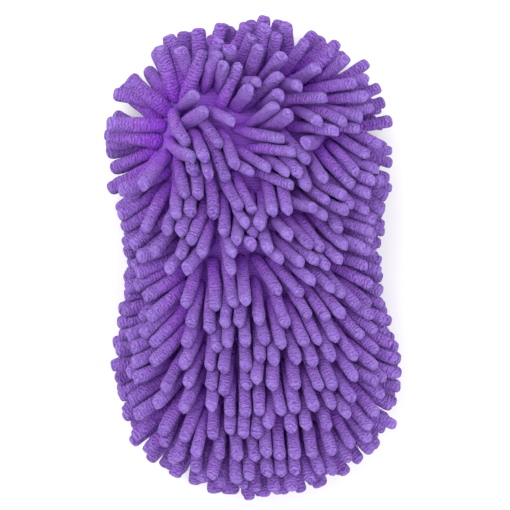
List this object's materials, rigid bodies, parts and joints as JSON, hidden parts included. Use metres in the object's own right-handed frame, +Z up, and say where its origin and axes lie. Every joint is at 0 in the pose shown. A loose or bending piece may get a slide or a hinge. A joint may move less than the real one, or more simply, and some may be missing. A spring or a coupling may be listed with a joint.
{
  "type": "wash mitt",
  "caption": "Waisted chenille wash mitt: a foam-cored pad with soft finger-like pile on its front and edge, and a sewn hand pocket with an elastic mouth on its back.",
  "frame": {"origin": "centre of the footprint, on the surface the mitt lies on", "axes": "+Z up, out of the chenille front; +Y along the mitt, the way the hand pocket's mouth opens; +X across it"},
  "size_m": [0.1444, 0.243, 0.0755],
  "materials": {
    "chenille": "soft velvety chenille with fine cross ribs",
    "base_cloth": "matt knitted backing cloth",
    "foam": "open-cell polyurethane foam",
    "back_mesh": "matt spacer mesh",
    "tape": "ribbed polyester tape",
    "elastic": "woven elastic",
    "thread": "polyester sewing thread",
    "label": "blank satin ribbon"
  },
  "bodies": {
    "root": {"foam_core": "foam", "front_cloth": "base_cloth", "edge_cloth": "base_cloth", "back_cloth": "back_mesh", "front_seam_thread": "thread", "edge_binding": "tape", "binding_thread_upper": "thread", "binding_thread_lower": "thread", "hand_pocket": "back_mesh", "pocket_hem": "tape", "pocket_elastic": "elastic", "pocket_bartack_left": "thread", "pocket_bartack_right": "thread", "care_label": "label", "edge_pile_lower": "chenille", "edge_pile_upper": "chenille", "shoulder_pile": "chenille", "front_row_01": "chenille", "front_row_02": "chenille", "front_row_03": "chenille", "front_row_04": "chenille", "front_row_05": "chenille", "front_row_06": "chenille", "front_row_07": "chenille", "front_row_08": "chenille", "front_row_09": "chenille", "front_row_10": "chenille", "front_row_11": "chenille", "front_row_12": "chenille", "front_row_13": "chenille", "front_row_14": "chenille", "front_row_15": "chenille", "front_row_16": "chenille", "front_row_17": "chenille"}
  },
  "joints": []
}
